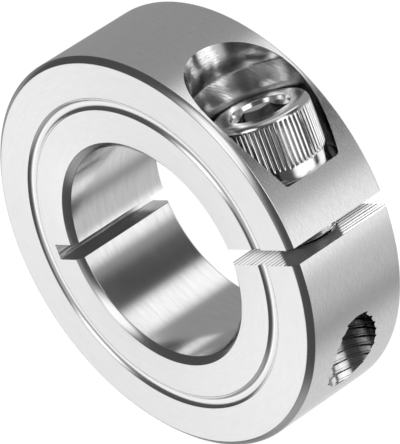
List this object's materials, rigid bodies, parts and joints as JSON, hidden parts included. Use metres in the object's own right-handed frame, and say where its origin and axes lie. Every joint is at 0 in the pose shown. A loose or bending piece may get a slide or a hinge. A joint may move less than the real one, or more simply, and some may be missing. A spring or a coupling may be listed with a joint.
{
  "type": "clamp shaft collar",
  "caption": "One-piece split collar that clamps on a round shaft, with a relief groove in one face, a hinge kerf and a socket head screw that draws the slit closed.",
  "frame": {"origin": "centre of the bore on the plain back face", "axes": "+Z along the bore axis towards the grooved front face, +X towards the clamping slit, +Y towards the screw's head"},
  "size_m": [0.0412, 0.0412, 0.0127],
  "materials": {
    "collar_steel": "turned satin with a smooth bore and sawn slit",
    "screw_steel": "bright with a knurled head"
  },
  "bodies": {
    "collar": {"collar": "collar_steel"},
    "clamp_screw": {"clamp_screw": "screw_steel"}
  },
  "joints": [
    {"name": "screw_turn", "type": "hinge", "parent": "collar", "child": "clamp_screw", "pos_m": [0.01549, 0, 0.00635], "axis": [0, 1, 0], "range_deg": [0, 2370]}
  ]
}
